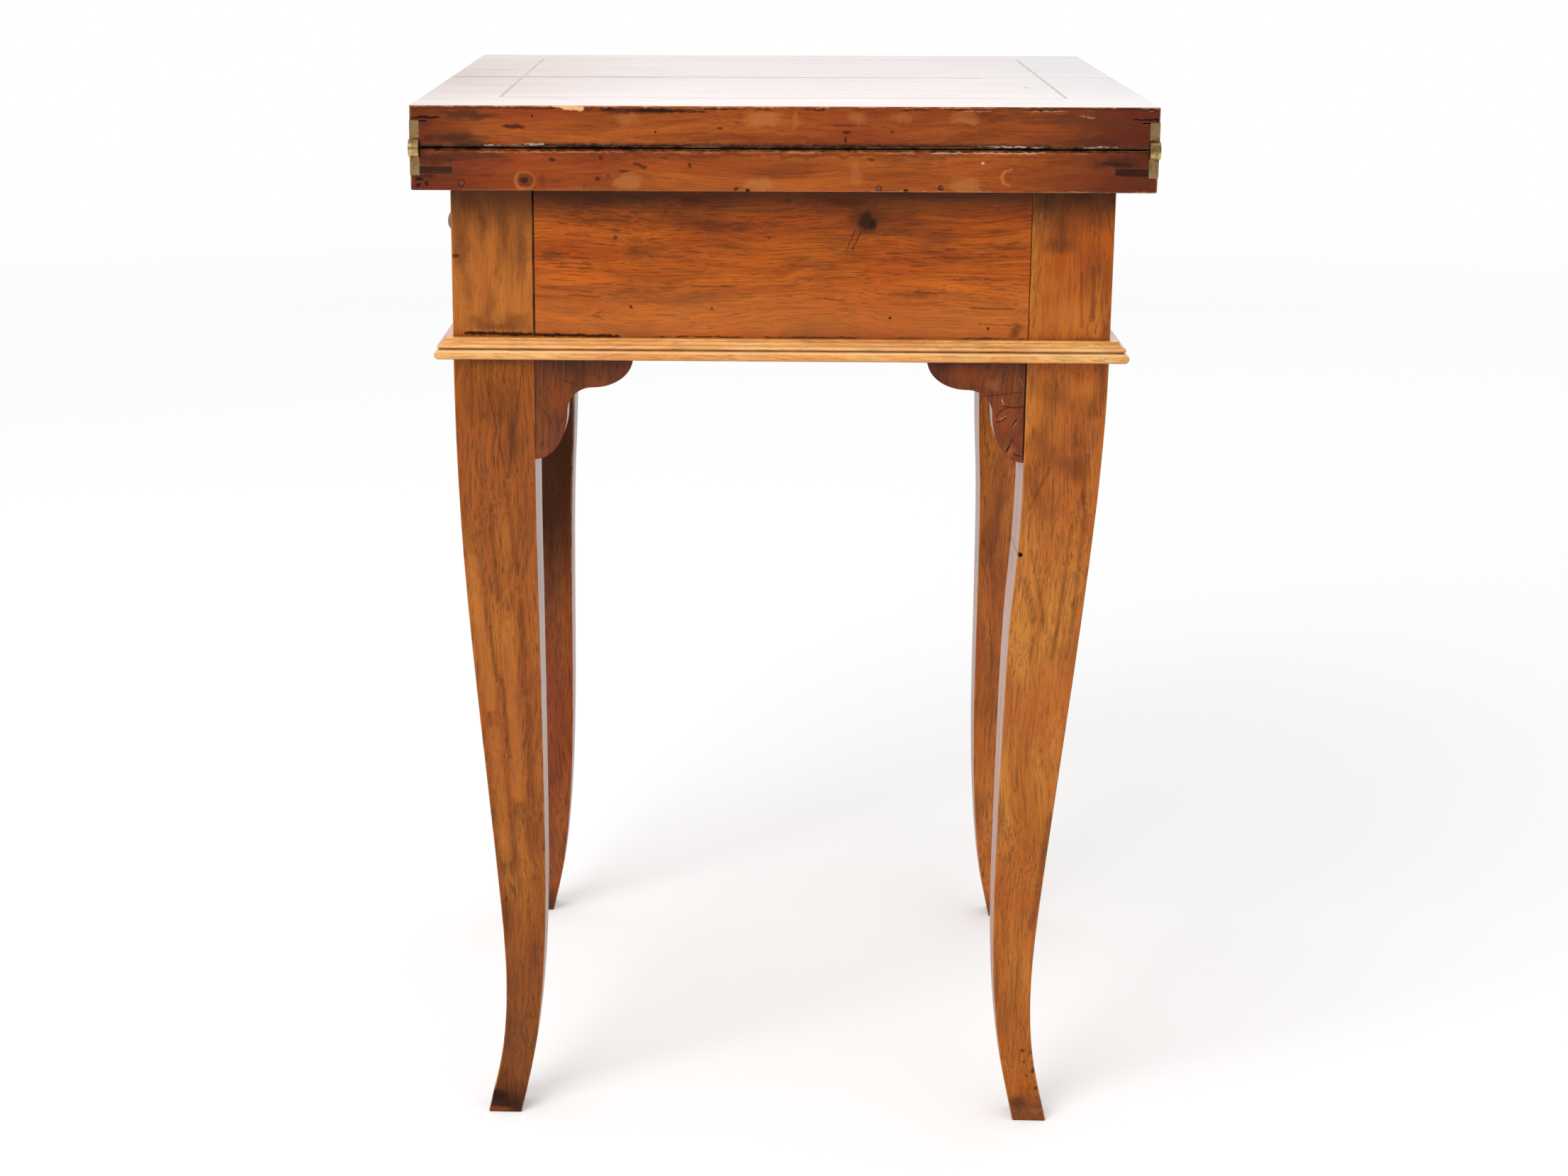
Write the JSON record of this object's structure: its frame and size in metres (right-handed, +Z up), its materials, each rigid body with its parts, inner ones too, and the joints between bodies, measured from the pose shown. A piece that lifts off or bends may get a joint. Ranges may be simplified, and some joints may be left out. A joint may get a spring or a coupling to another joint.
{
  "type": "fold-over side table",
  "caption": "Square side table with a fold-over top that turns a quarter turn, a drawer, sabre legs, scroll brackets and a stepped moulding.",
  "frame": {"origin": "on the floor under the centre of the square frame", "axes": "+Z up, -Y is the front with the hinges of the leaves, -X is the drawer side"},
  "size_m": [0.5044, 0.5063, 0.75],
  "materials": {
    "leaf_wood": "worn wax over old varnish",
    "frame_wood": "worn wax",
    "leg_wood": "worn wax, dark feet",
    "moulding_wood": "worn golden wood",
    "dark_wood": "satin",
    "drawer_wood": "plain unfinished wood",
    "brass": "tarnished, worn bright on the discs",
    "steel": "dull"
  },
  "bodies": {
    "frame": {"leg_front_left": "leg_wood", "leg_front_right": "leg_wood", "leg_back_right": "leg_wood", "leg_back_left": "leg_wood", "apron_front": "frame_wood", "apron_right": "frame_wood", "apron_back": "frame_wood", "drawer_rail_top": "drawer_wood", "drawer_rail_bottom": "frame_wood", "moulding_front": "moulding_wood", "moulding_right": "moulding_wood", "moulding_back": "moulding_wood", "moulding_left": "moulding_wood", "bracket_front_first": "frame_wood", "bracket_front_second": "frame_wood", "bracket_right_first": "frame_wood", "bracket_right_second": "frame_wood", "bracket_back_first": "frame_wood", "bracket_back_second": "frame_wood", "bracket_left_first": "frame_wood", "bracket_left_second": "frame_wood", "drawer_runner_front": "drawer_wood", "drawer_guide_front": "drawer_wood", "drawer_kicker_front": "drawer_wood", "drawer_runner_back": "drawer_wood", "drawer_guide_back": "drawer_wood", "drawer_kicker_back": "drawer_wood", "pivot_rail": "drawer_wood"},
    "lower_leaf": {"lower_leaf_front_board": "leaf_wood", "lower_leaf_back_board": "leaf_wood", "edge_keys": "dark_wood", "hinge_lower_plate_left": "brass", "hinge_lower_plate_right": "brass", "hinge_lower_screws": "brass", "hinge_pins": "brass", "pivot_bolt": "steel", "pivot_screws": "steel", "pivot_washer": "steel", "pivot_nut": "steel", "stop_peg": "drawer_wood"},
    "upper_leaf": {"upper_leaf_front_board": "leaf_wood", "upper_leaf_back_board": "leaf_wood", "top_stringing": "dark_wood", "hinge_upper_plate_left": "brass", "hinge_upper_plate_right": "brass", "hinge_upper_screws": "brass"},
    "drawer": {"drawer_front": "frame_wood", "drawer_side_front": "drawer_wood", "drawer_side_back": "drawer_wood", "drawer_back": "drawer_wood", "drawer_bottom": "drawer_wood", "drawer_knob": "brass", "knob_screw": "steel"}
  },
  "joints": [
    {"name": "top_swivel", "type": "hinge", "parent": "frame", "child": "lower_leaf", "pos_m": [0.12515, -0.12515, 0.6931], "axis": [0, 0, -1], "range_deg": [0, 90]},
    {"name": "leaf_hinge", "type": "hinge", "parent": "lower_leaf", "child": "upper_leaf", "pos_m": [0, -0.2503, 0.7217], "axis": [1, 0, 0], "range_deg": [0, 180]},
    {"name": "drawer_slide", "type": "slide", "parent": "frame", "child": "drawer", "axis": [-1, 0, 0], "range_m": [0, 0.22]}
  ]
}
